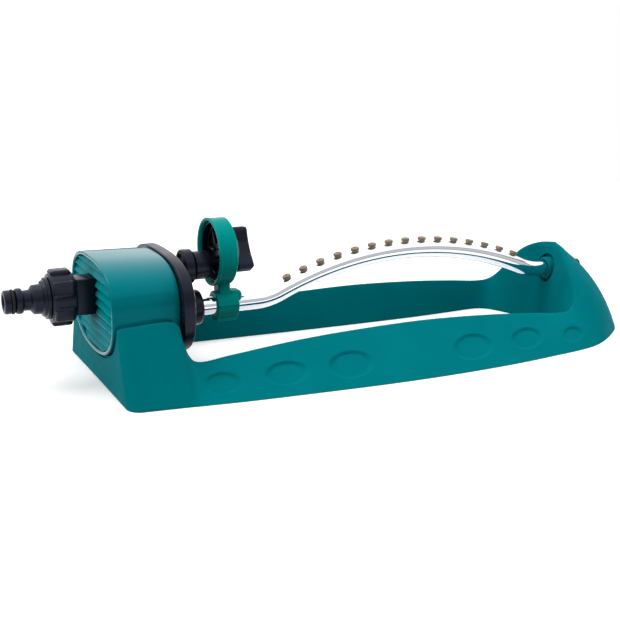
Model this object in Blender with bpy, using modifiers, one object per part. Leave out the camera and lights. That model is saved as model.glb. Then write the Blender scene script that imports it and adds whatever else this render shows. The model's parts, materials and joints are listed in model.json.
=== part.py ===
"""Oscillating lawn sprinkler with a bowed spray tube, a water-driven crank and a range dial.

Everything hangs on one empty. In its frame X runs along the spray tube from the hose end to the
far end, X = 0 is where the tube leaves its boss, Y = 0 is the plane of symmetry, and Z = 0 is the ground.
"""

import math

import bmesh
import bpy
from mathutils import Matrix, Vector

MM = 0.001
GAP = 0.3 * MM

# Driving dimensions
TUBE_R = 6.35 * MM
TUBE_WALL = 1.0 * MM
TUBE_Z = 43.3 * MM
INLET_Z = 61.0 * MM
DIAL_Z = 82.3 * MM
DIAL_R = 24.2 * MM
CRANK_THROW = 12.5 * MM
HOUSING_LEFT = -82.0 * MM
HOUSING_RIGHT = -35.3 * MM
HOUSING_Z = 54.5 * MM
HOUSING_HALF_WIDTH = 53.2 * MM
HOUSING_HALF_HEIGHT = 33.0 * MM
HOUSING_WALL = 2.5 * MM
BASE_LEFT = -80.0 * MM
BASE_WALL = 2.5 * MM
NOZZLES = 15
CENTRE_X = 103.1 * MM

# Bowed stretch of the tube: one large arc between two small ones, tangent to the straight ends
BOW_CREST = Vector((162.0 * MM, 0, 69.6 * MM))
BOW_R = 255.0 * MM
BEND_R = 50.0 * MM
TUBE_START = -16.0 * MM
TUBE_END = 315.0 * MM

for old in list(bpy.data.objects):
    bpy.data.objects.remove(old, do_unlink=True)

PARTS = bpy.data.collections.new("sprinkler")
CUTTERS = bpy.data.collections.new("cutters")
CUTTERS.hide_render = True
for group in (PARTS, CUTTERS):
    bpy.context.scene.collection.children.link(group)

ROOT = bpy.data.objects.new("sprinkler_frame", None)
ROOT.location.x = -CENTRE_X
PARTS.objects.link(ROOT)


def material(name, colour, roughness, metallic=0.0):
    made = bpy.data.materials.new(name)
    made.use_nodes = True
    shader = made.node_tree.nodes["Principled BSDF"]
    shader.inputs["Base Color"].default_value = (*colour, 1)
    shader.inputs["Roughness"].default_value = roughness
    shader.inputs["Metallic"].default_value = metallic
    return made


TEAL = material("teal_plastic", (0.0, 0.205, 0.235), 0.42)
GLOSS_TEAL = material("gloss_teal_plastic", (0.0, 0.2, 0.23), 0.22)
DIAL_TEAL = material("dial_teal_plastic", (0.0, 0.215, 0.195), 0.35)
BLACK = material("black_plastic", (0.012, 0.012, 0.018), 0.35)
WHITE = material("white_acetal", (0.75, 0.74, 0.7), 0.4)
TAN = material("tan_elastomer", (0.33, 0.25, 0.18), 0.6)
RUBBER = material("black_rubber", (0.015, 0.015, 0.016), 0.8)
ALUMINIUM = material("polished_aluminium", (0.85, 0.86, 0.88), 0.12, 1.0)
STEEL = material("stainless_steel", (0.6, 0.6, 0.6), 0.3, 1.0)


def place(obj, colour=None):
    """Puts an object among the parts in a colour, or among the cutters when it has none."""
    (PARTS if colour else CUTTERS).objects.link(obj)
    obj.parent = ROOT
    if colour:
        obj.data.materials.append(colour)
    else:
        obj.hide_render = True
        obj.display_type = "WIRE"
    return obj


def hang(name, at, members, under=None):
    """Hangs moving pieces, and the shapes that cut or join them, on an empty on their joint axis."""
    axis = bpy.data.objects.new(name, None)
    PARTS.objects.link(axis)
    axis.parent = under or ROOT
    axis.location = Vector(at) - (under.location if under else Vector())
    for member in members:
        piece = bpy.data.objects[member]
        for obj in [piece] + [step.object for step in piece.modifiers if step.type == "BOOLEAN"]:
            obj.parent = axis
            obj.location -= Vector(at)
    return axis


def from_bmesh(name, shape, colour=None, at=(0, 0, 0)):
    bmesh.ops.recalc_face_normals(shape, faces=shape.faces)
    mesh = bpy.data.meshes.new(name)
    shape.to_mesh(mesh)
    shape.free()
    mesh.shade_smooth()
    mesh.set_sharp_from_angle(angle=math.radians(35))
    obj = place(bpy.data.objects.new(name, mesh), colour)
    obj.location = at
    return obj


def turned(name, profile, colour=None, at=(0, 0, 0), steps=24, along="X"):
    """A turned piece. The profile holds (distance along the axis, radius), outer side first, in millimetres."""
    shape = bmesh.new()
    points = [shape.verts.new((radius * MM, 0, distance * MM)) for distance, radius in profile]
    for first, second in zip(points, points[1:]):
        shape.edges.new((first, second))
    if profile[0][1] > 0:
        shape.edges.new((points[-1], points[0]))
    mesh = bpy.data.meshes.new(name)
    shape.to_mesh(mesh)
    shape.free()
    obj = place(bpy.data.objects.new(name, mesh), colour)
    obj.location = at
    if along == "X":
        obj.rotation_euler.y = math.pi / 2
    screw = obj.modifiers.new("turn", "SCREW")
    screw.steps = steps
    screw.render_steps = steps
    screw.use_merge_vertices = True
    screw.merge_threshold = 1e-6
    screw.use_smooth_shade = True
    return obj


def bar(name, size, centre, colour=None, round_by=0.0, turn=0.0):
    """A box with its edges rounded, turned about the X axis through its centre."""
    shape = bmesh.new()
    bmesh.ops.create_cube(shape, size=1)
    bmesh.ops.scale(shape, vec=size, verts=shape.verts)
    obj = from_bmesh(name, shape, colour, centre)
    obj.rotation_euler.x = turn
    if round_by:
        bevel = obj.modifiers.new("round", "BEVEL")
        bevel.width = round_by
        bevel.segments = 2
    return obj


def rod(name, radius, left, right, z, y=0.0, colour=None, steps=24):
    """A plain cylinder along X."""
    shape = bmesh.new()
    bmesh.ops.create_cone(
        shape, cap_ends=True, segments=steps, radius1=radius, radius2=radius, depth=right - left
    )
    bmesh.ops.rotate(shape, matrix=Matrix.Rotation(math.pi / 2, 3, "Y"), verts=shape.verts)
    return from_bmesh(name, shape, colour, ((left + right) / 2, y, z))


def prism(name, outline, left, right, colour=None, at=(0, 0, 0)):
    """An outline of (Y, Z) points, extruded along X."""
    shape = bmesh.new()
    face = shape.faces.new([shape.verts.new((left, y, z)) for y, z in outline])
    moved = bmesh.ops.extrude_face_region(shape, geom=[face])["geom"]
    far = [item for item in moved if isinstance(item, bmesh.types.BMVert)]
    bmesh.ops.translate(shape, vec=(right - left, 0, 0), verts=far)
    return from_bmesh(name, shape, colour, at)


def loft(name, rings, colour=None, closed=True):
    """Skins rings of equally many points. An open loft leaves its last ring open, for a Mirror to meet."""
    shape = bmesh.new()
    rows = [[shape.verts.new(point) for point in ring] for ring in rings]
    count = len(rows[0])
    for row, following in zip(rows, rows[1:]):
        for k in range(count):
            after = (k + 1) % count
            shape.faces.new((row[k], row[after], following[after], following[k]))
    shape.faces.new(rows[0])
    if closed:
        shape.faces.new(rows[-1])
    return from_bmesh(name, shape, colour)


def combine(obj, operation, *others):
    for other in others:
        step = obj.modifiers.new(other.name, "BOOLEAN")
        step.operation = operation
        step.object = other
    return obj


def cut(obj, *others):
    return combine(obj, "DIFFERENCE", *others)


def join(obj, *others):
    return combine(obj, "UNION", *others)


def smooth_blend(keys, steps):
    """Catmull-Rom points through a few keys, each a flat tuple of numbers in millimetres."""
    made = []
    for k in range(len(keys) - 1):
        before = keys[max(k - 1, 0)]
        start, end = keys[k], keys[k + 1]
        after = keys[min(k + 2, len(keys) - 1)]
        for step in range(steps):
            t = step / steps
            weights = (
                (-t + 2 * t**2 - t**3) / 2,
                (2 - 5 * t**2 + 3 * t**3) / 2,
                (t + 4 * t**2 - 3 * t**3) / 2,
                (-(t**2) + t**3) / 2,
            )
            values = zip(before, start, end, after)
            made.append([sum(w * v for w, v in zip(weights, four)) for four in values])
    made.append(list(keys[-1]))
    return made


def rounded_outline(wider=0.0, higher=0.0, count=36):
    """The housing's section as (Y, Z) points: a squarish oval, a little fuller above its middle than below."""
    points = []
    for k in range(count):
        angle = 2 * math.pi * k / count
        power = 2.75 if math.sin(angle) >= 0 else 2.35
        across = math.copysign(abs(math.cos(angle)) ** (2 / power), math.cos(angle))
        up = math.copysign(abs(math.sin(angle)) ** (2 / power), math.sin(angle))
        y = (HOUSING_HALF_WIDTH + wider) * across
        z = HOUSING_Z + (HOUSING_HALF_HEIGHT + higher) * up
        points.append((y, z))
    return points


# ---------------------------------------------------------------- base frame

# Each key: ground edge (x, y), ridge (x, y, z), foot of the inner wall (x, y), rounding of the ridge, and
# how far the outer face bulges
BASE_KEYS = (
    (-42, 84.0, -42, 56.5, 52.0, -42, 52.0, 2.0, 0),
    (-36.5, 84.9, -36.5, 57.0, 39.0, -36.5, 54.0, 2.0, 0),
    (-32, 85.5, -32, 57.3, 27.0, -32, 55.5, 2.0, 0),
    (-24, 86.4, -24, 57.5, 22.2, -24, 56.5, 2.0, 0),
    (0, 89.2, 0, 57.5, 24.6, 0, 56.5, 2.0, 0),
    (50, 93.0, 50, 57.5, 29.2, 50, 54.0, 2.2, 0),
    (100, 95.9, 100, 57.5, 31.4, 100, 51.5, 2.4, 0),
    (150, 96.4, 150, 57.5, 31.8, 150, 50.0, 2.4, 0),
    (200, 93.8, 200, 57.5, 29.6, 200, 49.5, 2.4, 0),
    (240, 88.9, 238, 57.5, 26.4, 236, 51.0, 2.2, 0.3),
    (266, 85.0, 261, 57.5, 24.0, 256, 52.0, 2.4, 0.8),
    (284, 80.0, 274.5, 57.0, 24.8, 266, 48.5, 2.6, 2.0),
    (299, 71.6, 282.0, 53.0, 31.8, 271.0, 41.0, 3.6, 4.0),
    (314, 60.2, 286.0, 43.0, 45.0, 275.0, 31.5, 5.0, 6.0),
    (329, 45.8, 289.0, 30.0, 57.5, 278.5, 21.0, 6.0, 8.0),
    (341.5, 25.5, 295.0, 16.0, 64.8, 281.5, 10.5, 6.5, 9.0),
    (347, 0, 298.0, 0, 68.0, 282.5, 0, 7.0, 9.5),
)
CORNER_R = 10.0


def left_corner():
    """The cradle's two rounded upright corners, from the end face to where the walls run straight."""
    keys = []
    for angle in (0, 30, 60, 90):
        back = CORNER_R * (1 - math.sin(math.radians(angle)))
        along = BASE_LEFT / MM + CORNER_R * (1 - math.cos(math.radians(angle)))
        keys.append((along, 80.9 - back, along, 56.5 - back / 3, 52.0, along, 51.0 - back / 3, 2.0, 0))
    return keys


def section_plane(key):
    """The upright plane of a section: a function from (distance out from the foot, height) to a point."""
    ground = Vector((key[0], key[1], 0))
    ridge = Vector(key[2:5])
    foot = Vector((key[5], key[6], 0))
    across = (ground - foot).normalized()
    level = Vector((ridge.x, ridge.y, 0)) - foot
    along = level.dot(across)
    lean = (level - across * along) / ridge.z

    def at(out, z):
        return (foot + across * out + lean * z + Vector((0, 0, z))) * MM

    return at, Vector((along, ridge.z)), (ground - foot).length


def section(key):
    """The outside of a section: foot, inner wall, rounded ridge, and the outer face down to the ground."""
    at, ridge, width = section_plane(key)
    ground = Vector((width, 0))
    fall = ground - ridge
    start = ridge - ridge.normalized() * key[7]
    end = ridge + fall.normalized() * key[7]
    points = [Vector((0, 0))]
    for t in (0, 0.25, 0.5, 0.75, 1):
        points.append(start * (1 - t) ** 2 + ridge * 2 * t * (1 - t) + end * t**2)
    outward = Vector((-fall.y, fall.x)).normalized()
    for t in (0.25, 0.5, 0.75):
        points.append(end.lerp(ground, t) + outward * key[8] * 4 * t * (1 - t))
    points.append(ground)
    return [at(*point) for point in points]


def hollow_section(key):
    """The hollow inside a section, one wall thickness in, and open below."""
    at, ridge, width = section_plane(key)
    wall = BASE_WALL / MM
    inner_lean = ridge.x / ridge.y
    outer_lean = (width - ridge.x) / ridge.y
    left = wall * math.hypot(1, inner_lean)
    right = width - wall * math.hypot(1, outer_lean)
    height = (right - left) / (inner_lean + outer_lean)
    below = -2.0
    corners = (
        (left + inner_lean * below, below),
        (left + inner_lean * height, height),
        (right - outer_lean * below, below),
    )
    return [at(*corner) for corner in corners]


def halves(obj):
    mirror = obj.modifiers.new("both sides", "MIRROR")
    mirror.use_axis = (False, True, False)
    mirror.merge_threshold = 1e-6
    return obj


def base_frame():
    left = left_corner()
    keys = left[:-1] + smooth_blend([left[-1], *BASE_KEYS], 2)
    rings = [section(key) for key in keys]
    for point in rings[-1]:
        point.y = 0
    frame = halves(loft("base_frame", rings, TEAL, closed=False))

    hollow_rings = [hollow_section(key) for key in keys[2:]]
    for point in hollow_rings[-1]:
        point.y = 0
    hollow = halves(loft("hollow_under_rails", hollow_rings, closed=False))
    barrel = rod("bearing_barrel", 13.0 * MM, 285 * MM, 330 * MM, TUBE_Z)
    cut(hollow, barrel)

    floor = bar("cradle_floor", (42.4 * MM, 108 * MM, 44 * MM), (-58.2 * MM, 0, 22.5 * MM))
    seat = prism("housing_seat", rounded_outline(0.45 * MM, 0.45 * MM), -100 * MM, -30 * MM)
    cover_seat = prism("cover_seat", rounded_outline(6.6 * MM, 1.4 * MM), -35.4 * MM, -10 * MM)
    under = bar("hollow_under_floor", (36.4 * MM, 88 * MM, 20 * MM), (-58.2 * MM, 0, 7 * MM))
    bearing_bore = rod("bearing_bore", 9.1 * MM, 250 * MM, 360 * MM, TUBE_Z)
    counterbore = rod("bearing_counterbore", 11.3 * MM, 250 * MM, 299 * MM, TUBE_Z, steps=28)
    join(frame, floor)
    cut(frame, seat, cover_seat, hollow, under, counterbore, bearing_bore)
    for side in (-1, 1):
        name = f"floor_screw_hole_{'left' if side > 0 else 'right'}"
        hole = turned(name, [(40, 0), (40, 2.4), (5, 2.4), (5, 0)], at=(SCREW_X, side * SCREW_Y, 0), along="Z")
        cut(frame, hole)
    return frame


# ---------------------------------------------------------------- motor housing and its cover

SCREW_X = -56.0 * MM
SCREW_Y = 20.0 * MM
STUB_R = 11.0 * MM
STUB_LEFT = -99.0 * MM
STUB_BORE = 6.6 * MM


def motor_housing():
    housing = prism("motor_housing", rounded_outline(), HOUSING_LEFT, HOUSING_RIGHT, GLOSS_TEAL)
    face = HOUSING_LEFT + 3.2 * MM
    recess = prism("face_recess", rounded_outline(-3.0 * MM, -3.0 * MM), HOUSING_LEFT - 5 * MM, face)
    chamber = prism("chamber", rounded_outline(-HOUSING_WALL, -HOUSING_WALL), face + HOUSING_WALL, 0)
    cut(housing, recess, chamber)
    for k in range(9):
        rib_z = HOUSING_Z - 26 * MM + 6.5 * MM * k
        reach = (1 - (abs(rib_z - HOUSING_Z) / (HOUSING_HALF_HEIGHT - 2 * MM)) ** 2.5) ** 0.4
        half = (HOUSING_HALF_WIDTH - 2 * MM) * reach
        rib = bar(f"face_rib_{k}", (3 * MM, 2 * half, 2.2 * MM), (face - 1.1 * MM, 0, rib_z))
        join(housing, rib)
    boss = rod("stub_boss", 16.5 * MM, HOUSING_LEFT - 0.8 * MM, face + 1 * MM, INLET_Z)
    stub = rod("stub", STUB_R, STUB_LEFT, face + 6 * MM, INLET_Z)
    collar = bar("stub_collar", (14 * MM, 16.5 * MM, 25 * MM), (-86.8 * MM, 0, INLET_Z))
    join(housing, boss, stub, collar)
    for side in (-1, 1):
        post = rod(f"screw_post_{side}", 4.5 * MM, -6 * MM, 6 * MM, 0, steps=12)
        post.rotation_euler.y = math.pi / 2
        post.location = (SCREW_X, side * SCREW_Y, 31 * MM)
        join(housing, post)
    bore = rod("stub_bore", STUB_BORE, STUB_LEFT - 5 * MM, -60 * MM, INLET_Z)
    cut(housing, bore)
    for side in (-1, 1):
        pilot = rod(f"screw_pilot_{side}", 1.9 * MM, -9 * MM, 9 * MM, 0, steps=12)
        pilot.rotation_euler.y = math.pi / 2
        pilot.location = (SCREW_X, side * SCREW_Y, 25 * MM)
        cut(housing, pilot)
    return housing


BUSH_R = 8.8 * MM
COVER_WIDER = 6.0
COVER_DROP = 0.8


def housing_cover():
    edges = ((-35.0, COVER_WIDER, 0.0), (-27.0, COVER_WIDER, 0.0), (-23.0, 1.5, -4.7))
    rings = []
    for x, wide, high in edges:
        outline = rounded_outline(wide * MM, high * MM)
        rings.append([(x * MM, y, z - COVER_DROP * MM) for y, z in outline])
    cover = loft("housing_cover", rings, BLACK)
    inside = -HOUSING_WALL - 0.4 * MM
    spigot = prism("cover_spigot", rounded_outline(inside, inside), -38.5 * MM, -34 * MM)
    deep = inside - 2.0 * MM
    hollow = prism("cover_hollow", rounded_outline(deep, deep), -45 * MM, -26 * MM)
    boss_hole = rod("boss_hole", 11.8 * MM, -45 * MM, 5 * MM, TUBE_Z, steps=20)
    boss = turned(
        "outlet_boss",
        [
            (-4, 9.0), (-4, 10.8), (-5, 12.0), (-6.5, 12.6), (-25.5, 12.6),
            (-25.5, 6.7), (-13.5, 6.7), (-13.5, 9.0),
        ],
        at=(0, 0, TUBE_Z),
    )
    collar_hole = rod("collar_hole", 6.6 * MM, -45 * MM, 5 * MM, INLET_Z, steps=20)
    collar = turned(
        "seal_collar",
        [(-23.4, 3.3), (-23.4, 7.4), (-31, 7.4), (-31, 5.1), (-24.6, 5.1), (-24.6, 3.3)],
        at=(0, 0, INLET_Z),
    )
    join(cover, spigot)
    cut(cover, hollow, boss_hole, collar_hole)
    join(cover, boss, collar)


def bearing_plate(name, left, holes):
    """A plate across the housing's chamber, with a hole for each shaft and a gap below for the water."""
    fit = -HOUSING_WALL - 0.5 * MM
    plate = prism(name, rounded_outline(fit, fit), left, left + 1.8 * MM, WHITE)
    window = bar(f"{name}_window", (10 * MM, 62 * MM, 18 * MM), (left, 0, 26 * MM))
    cut(plate, window)
    for k, (y, radius) in enumerate(holes):
        hole = rod(f"{name}_hole_{k}", radius, left - 5 * MM, left + 8 * MM, INLET_Z, y)
        cut(plate, hole)
    return plate


# ---------------------------------------------------------------- inlet connector

def inlet_connector():
    at = (0, 0, INLET_Z)
    turned(
        "connector_nose",
        [
            (-101.2, 5.0), (-101.2, 10.8), (-111.2, 10.8), (-111.2, 14.2),
            (-113.4, 14.2), (-113.8, 12.4), (-115.4, 12.2), (-116.2, 10.2), (-121.4, 10.0),
            (-123.6, 7.1), (-128.0, 6.8), (-128.6, 8.3), (-129.6, 8.7), (-132.2, 8.7),
            (-133.0, 7.9), (-133.6, 6.6), (-136.2, 6.6), (-136.4, 8.1), (-139.8, 8.1),
            (-140.8, 7.2), (-140.8, 5.6), (-139.0, 5.0),
        ],
        BLACK,
        at,
    )
    turned(
        "nose_oring",
        [(-133.9, 7.0), (-133.9, 8.0), (-134.9, 8.4), (-135.9, 8.0), (-135.9, 7.0)],
        RUBBER,
        at,
    )
    nut = turned(
        "swivel_nut",
        [(-94.4, 11.3), (-94.4, 15.0), (-95.6, 16.3), (-109.4, 16.3), (-110.9, 15.2), (-110.9, 11.3)],
        BLACK,
        at,
    )
    for k in range(6):
        angle = math.radians(60 * k)
        lug = bar(f"grip_lug_{k}", (14.4 * MM, 9.5 * MM, 5 * MM), (-102.9 * MM, 0, 0), round_by=1.2 * MM)
        lug.modifiers["round"].segments = 1
        lug.location += Vector((0, -math.sin(angle), math.cos(angle))) * 16.8 * MM
        lug.location.z += INLET_Z
        lug.rotation_euler.x = angle
        join(nut, lug)
    turned("hose_washer", [(-99.4, 5.2), (-99.4, 10.6), (-100.8, 10.6), (-100.8, 5.2)], RUBBER, at, steps=20)
    screen = turned(
        "inlet_filter",
        [(-89.0, 0), (-89.0, 5.6), (-98.6, 6.2), (-98.6, 5.4), (-90.0, 4.8), (-90.0, 0)],
        WHITE,
        at,
        steps=16,
    )
    for k in range(3):
        slot = bar(f"filter_slot_{k}", (6 * MM, 20 * MM, 1.2 * MM), (-88.0 * MM, 0, INLET_Z))
        slot.location.z += (k - 1) * 2.8 * MM
        cut(screen, slot)


# ---------------------------------------------------------------- turbine, gears and crank

MODULE = 1.5 * MM
GEAR_TEETH = 24
PINION_TEETH = 12
LAY_Y = MODULE * (GEAR_TEETH + PINION_TEETH) / 2


def gear(name, teeth, left, right, y, bore, colour=None, turn=0.0):
    """A spur gear along X with straight-sided teeth; turn shifts it by a part of one tooth."""
    pitch_r = MODULE * teeth / 2
    step = 2 * math.pi / teeth
    outline = []
    for k in range(teeth):
        middle = step * (k + turn)
        for offset, radius in (
            (-0.27, pitch_r - 1.25 * MODULE),
            (-0.1, pitch_r + 0.85 * MODULE),
            (0.1, pitch_r + 0.85 * MODULE),
            (0.27, pitch_r - 1.25 * MODULE),
        ):
            angle = middle + offset * step
            outline.append((radius * math.cos(angle), radius * math.sin(angle)))
    made = prism(name, outline, left, right, colour, (0, y, INLET_Z))
    if bore:
        cut(made, rod(f"{name}_bore", bore, left - 5 * MM, right + 5 * MM, INLET_Z, y, steps=16))
    return made


def drive_train():
    turbine = turned(
        "turbine_wheel",
        [(-66.6, 2.2), (-66.6, 4.5), (-67.4, 4.5), (-67.4, 15), (-68.4, 15), (-68.4, 4.5), (-73.4, 4.5), (-73.4, 2.2)],
        WHITE,
        (0, 0, INLET_Z),
        steps=20,
    )
    for k in range(8):
        angle = math.radians(45 * k)
        blade = bar(f"blade_{k}", (4.6 * MM, 1.2 * MM, 11 * MM), (-70.4 * MM, 0, INLET_Z))
        blade.location += Vector((0, -math.sin(angle), math.cos(angle))) * 9.2 * MM
        blade.rotation_euler.x = angle
        join(turbine, blade)
    spindle = rod("turbine_shaft", 1.9 * MM, -74 * MM, -54.6 * MM, INLET_Z, colour=STEEL, steps=16)
    pinion = gear("turbine_pinion", PINION_TEETH, -62.6 * MM, -57.6 * MM, 0, 2.2 * MM, WHITE)
    lay_shaft = rod("lay_shaft", 1.9 * MM, -65.4 * MM, -42.4 * MM, INLET_Z, LAY_Y, STEEL, 16)
    lay_gear = gear("lay_gear", GEAR_TEETH, -62.2 * MM, -58.2 * MM, LAY_Y, 0, WHITE, turn=0.5)
    lay_pinion = gear("lay_pinion", PINION_TEETH, -59 * MM, -46.6 * MM, LAY_Y, 0)
    join(lay_gear, lay_pinion)
    cut(lay_gear, rod("lay_bore", 2.2 * MM, -70 * MM, -40 * MM, INLET_Z, LAY_Y, steps=16))
    output = gear("output_gear", GEAR_TEETH, -51.4 * MM, -47.2 * MM, 0, 3.3 * MM, WHITE, turn=0.5)
    return turbine, spindle, pinion, lay_shaft, output


def crank():
    pin_z = INLET_Z + CRANK_THROW
    shaft = rod("crank", 3.0 * MM, -52.6 * MM, -20 * MM, INLET_Z, colour=BLACK)
    web = bar("crank_web", (4 * MM, 8.4 * MM, 14 * MM), (-20.4 * MM, 0, INLET_Z + 6 * MM))
    hub = rod("crank_hub", 4.8 * MM, -22.4 * MM, -18.4 * MM, INLET_Z)
    drum = turned(
        "crank_drum",
        [
            (2.6, 0), (2.6, 9.6), (1.6, 10.5), (-7.6, 10.5), (-7.6, 9.4), (-9.0, 9.4),
            (-9.0, 11.0), (-16.4, 11.0), (-17.0, 10.4), (-17.0, 8.0), (-20.5, 8.0), (-20.5, 0),
        ],
        at=(0, 0, pin_z),
    )
    pin = rod("crank_pin", 1.5 * MM, -5 * MM, 13.6 * MM, pin_z, steps=12)
    join(shaft, web, hub, drum, pin)
    turned(
        "crank_roller",
        [(13.2, 1.8), (13.2, 3.0), (4.6, 3.0), (4.6, 1.8)],
        WHITE,
        (0, 0, pin_z),
        steps=16,
    )
    turned(
        "shaft_seal",
        [(-24.9, 3.3), (-24.9, 4.8), (-28.4, 4.8), (-28.4, 3.3)],
        RUBBER,
        (0, 0, INLET_Z),
        steps=20,
    )


# ---------------------------------------------------------------- spray tube, nozzles and bearings

def bow_tangent():
    """Where the small bend meets the large arc, and how far the bend's centre lies from the crest, along X."""
    centre_z = BOW_CREST.z - BOW_R
    bend_z = TUBE_Z + BEND_R
    reach = math.sqrt((BOW_R + BEND_R) ** 2 - (bend_z - centre_z) ** 2)
    share = BOW_R / (BOW_R + BEND_R)
    return reach * share, reach


def tube_height(x):
    """Height of the tube's centre line."""
    tangent, reach = bow_tangent()
    away = abs(x - BOW_CREST.x)
    if away <= tangent:
        return BOW_CREST.z - BOW_R + math.sqrt(BOW_R**2 - away**2)
    if away < reach:
        return TUBE_Z + BEND_R - math.sqrt(BEND_R**2 - (reach - away) ** 2)
    return TUBE_Z


def tube_slope(x):
    small = 0.1 * MM
    return math.atan2(tube_height(x + small) - tube_height(x - small), 2 * small)


def tube_stations():
    _, reach = bow_tangent()
    start = BOW_CREST.x - reach
    steps = 26
    bowed = [start + 2 * reach * k / steps for k in range(steps + 1)]
    return [TUBE_START, *bowed, TUBE_END]


def tube_mesh(name, radius, spare, colour=None):
    line = bpy.data.curves.new(name, "CURVE")
    line.dimensions = "3D"
    line.bevel_depth = radius
    line.bevel_resolution = 5
    line.use_fill_caps = True
    stations = tube_stations()
    points = [(x, 0, tube_height(x)) for x in stations]
    points[0] = (stations[0] - spare, 0, TUBE_Z)
    points[-1] = (stations[-1] + spare, 0, TUBE_Z)
    spline = line.splines.new("POLY")
    spline.points.add(len(points) - 1)
    for point, co in zip(spline.points, points):
        point.co = (*co, 1)
    guide = bpy.data.objects.new(name, line)
    PARTS.objects.link(guide)
    bpy.context.view_layer.update()
    mesh = bpy.data.meshes.new_from_object(guide.evaluated_get(bpy.context.evaluated_depsgraph_get()))
    shape = bmesh.new()
    shape.from_mesh(mesh)
    bmesh.ops.remove_doubles(shape, verts=shape.verts, dist=1e-6)
    bpy.data.objects.remove(guide, do_unlink=True)
    return from_bmesh(name, shape, colour)


NOZZLE_HEAD = 3.9
NOZZLE_X = (66.4 * MM, 256.9 * MM)


def nozzle_places():
    """Nozzles at equal steps along the tube, each with its place on the centre line and its lean."""
    fine = 400
    first, last = NOZZLE_X
    line = [first + (last - first) * k / fine for k in range(fine + 1)]
    run = [0.0]
    for before, after in zip(line, line[1:]):
        run.append(run[-1] + math.hypot(after - before, tube_height(after) - tube_height(before)))
    places = []
    for n in range(NOZZLES):
        wanted = run[-1] * n / (NOZZLES - 1)
        k = min(range(fine + 1), key=lambda i: abs(run[i] - wanted))
        x = line[k]
        places.append((Vector((x, 0, tube_height(x))), tube_slope(x)))
    return places


def spray_tube():
    tube = tube_mesh("spray_tube", TUBE_R, 0, ALUMINIUM)
    bore = tube_mesh("tube_water_way", TUBE_R - TUBE_WALL, 5 * MM)
    cut(tube, bore)
    surface = TUBE_R / MM
    profile = [
        (surface + NOZZLE_HEAD, 0.7), (surface + NOZZLE_HEAD, 2.1), (surface + NOZZLE_HEAD - 0.8, 2.9),
        (surface + 0.5, 3.1), (surface + 0.5, 1.3), (surface - 2.2, 1.3), (surface - 2.2, 0.7),
    ]
    for n, (place_at, slope) in enumerate(nozzle_places(), 1):
        nozzle = turned(f"nozzle_{n:02d}", profile, TAN, place_at, steps=10, along="Z")
        nozzle.rotation_euler.y = -slope
        hole = turned(
            f"nozzle_hole_{n:02d}", [(9, 0), (9, 1.65), (2, 1.65), (2, 0)], at=place_at, steps=8, along="Z"
        )
        hole.rotation_euler.y = -slope
        cut(tube, hole)


def tube_bearings():
    at = (0, 0, TUBE_Z)
    outer = BUSH_R / MM
    inner = (TUBE_R + GAP) / MM
    turned("outlet_bushing", [(2.4, inner), (2.4, 8.2), (1.8, outer), (-10.2, outer), (-10.2, inner)], BLACK, at)
    turned("tube_seal", [(-10.5, inner), (-10.5, outer), (-13.2, outer), (-13.2, inner)], RUBBER, at)
    turned(
        "end_bushing",
        [(303.5, inner), (303.5, outer), (290.6, outer), (289.6, 8.3), (289.6, inner)],
        TEAL,
        at,
    )
    turned(
        "tube_plug",
        [
            (327.5, 0), (328.2, 3.9), (327.4, 4.9), (317.6, 4.9), (315.4, 6.2),
            (315.4, 4.9), (306.0, 4.9), (305.0, 0.8), (286.0, 0.8), (284.5, 0),
        ],
        BLACK,
        at,
        steps=20,
    )


# ---------------------------------------------------------------- range dial

KNOB_TILT = math.radians(30)
SLEEVE_R = 10.3


def dial_housing():
    at = (0, 0, DIAL_Z)
    radius = DIAL_R / MM
    cup = turned(
        "dial_housing",
        [
            (19.0, 4.4), (19.0, radius - 5.0), (17.2, radius - 1.6), (16.4, radius - 0.6), (5.4, radius - 0.6),
            (5.4, radius), (3.5, radius), (3.5, radius - 2.6), (14.4, radius - 2.8), (16.6, radius - 6.0),
            (16.6, 4.4),
        ],
        DIAL_TEAL,
        at,
        steps=32,
    )
    sleeve = turned(
        "clamp_sleeve",
        [(26.6, 0), (26.6, SLEEVE_R - 0.6), (26.0, SLEEVE_R), (12.6, SLEEVE_R), (12.0, SLEEVE_R - 0.6), (12.0, 0)],
        at=(0, 0, TUBE_Z),
    )
    arm = bar("dial_arm", (8.6 * MM, 18.6 * MM, 12.0 * MM), (13.1 * MM, 0, 54.4 * MM))
    rib = bar("sleeve_foot", (14 * MM, 12 * MM, 3 * MM), (19.3 * MM, 0, TUBE_Z - SLEEVE_R * MM + 0.8 * MM))
    bore = rod("sleeve_bore", TUBE_R + 0.25 * MM, 0, 40 * MM, TUBE_Z)
    join(cup, arm, sleeve, rib)
    cut(cup, bore)


def slot_plate():
    """The plate in the dial that the crank's roller pushes from side to side."""
    plate = rod("slot_plate", DIAL_R - 3.2 * MM, 11.6 * MM, 13.9 * MM, DIAL_Z, colour=BLACK, steps=28)
    slot = bar("roller_slot", (10 * MM, 7.2 * MM, 16.4 * MM), (12 * MM, 0, 70.6 * MM))
    cut(plate, slot)


def range_knob():
    knob = rod("range_knob", 4.0 * MM, 15.9 * MM, 21.0 * MM, DIAL_Z, colour=BLACK)
    skirt = rod("knob_skirt", 12.5 * MM, 19.4 * MM, 22.5 * MM, DIAL_Z)
    wing = bar(
        "knob_wing", (12.6 * MM, 9 * MM, 32 * MM), (27.8 * MM, 0, DIAL_Z), round_by=1.6 * MM, turn=-KNOB_TILT
    )
    join(knob, skirt, wing)
    turned("selector_disc", [(15.6, 0), (15.6, 15), (14.5, 15), (14.5, 0)], WHITE, (0, 0, DIAL_Z), steps=24)


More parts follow.
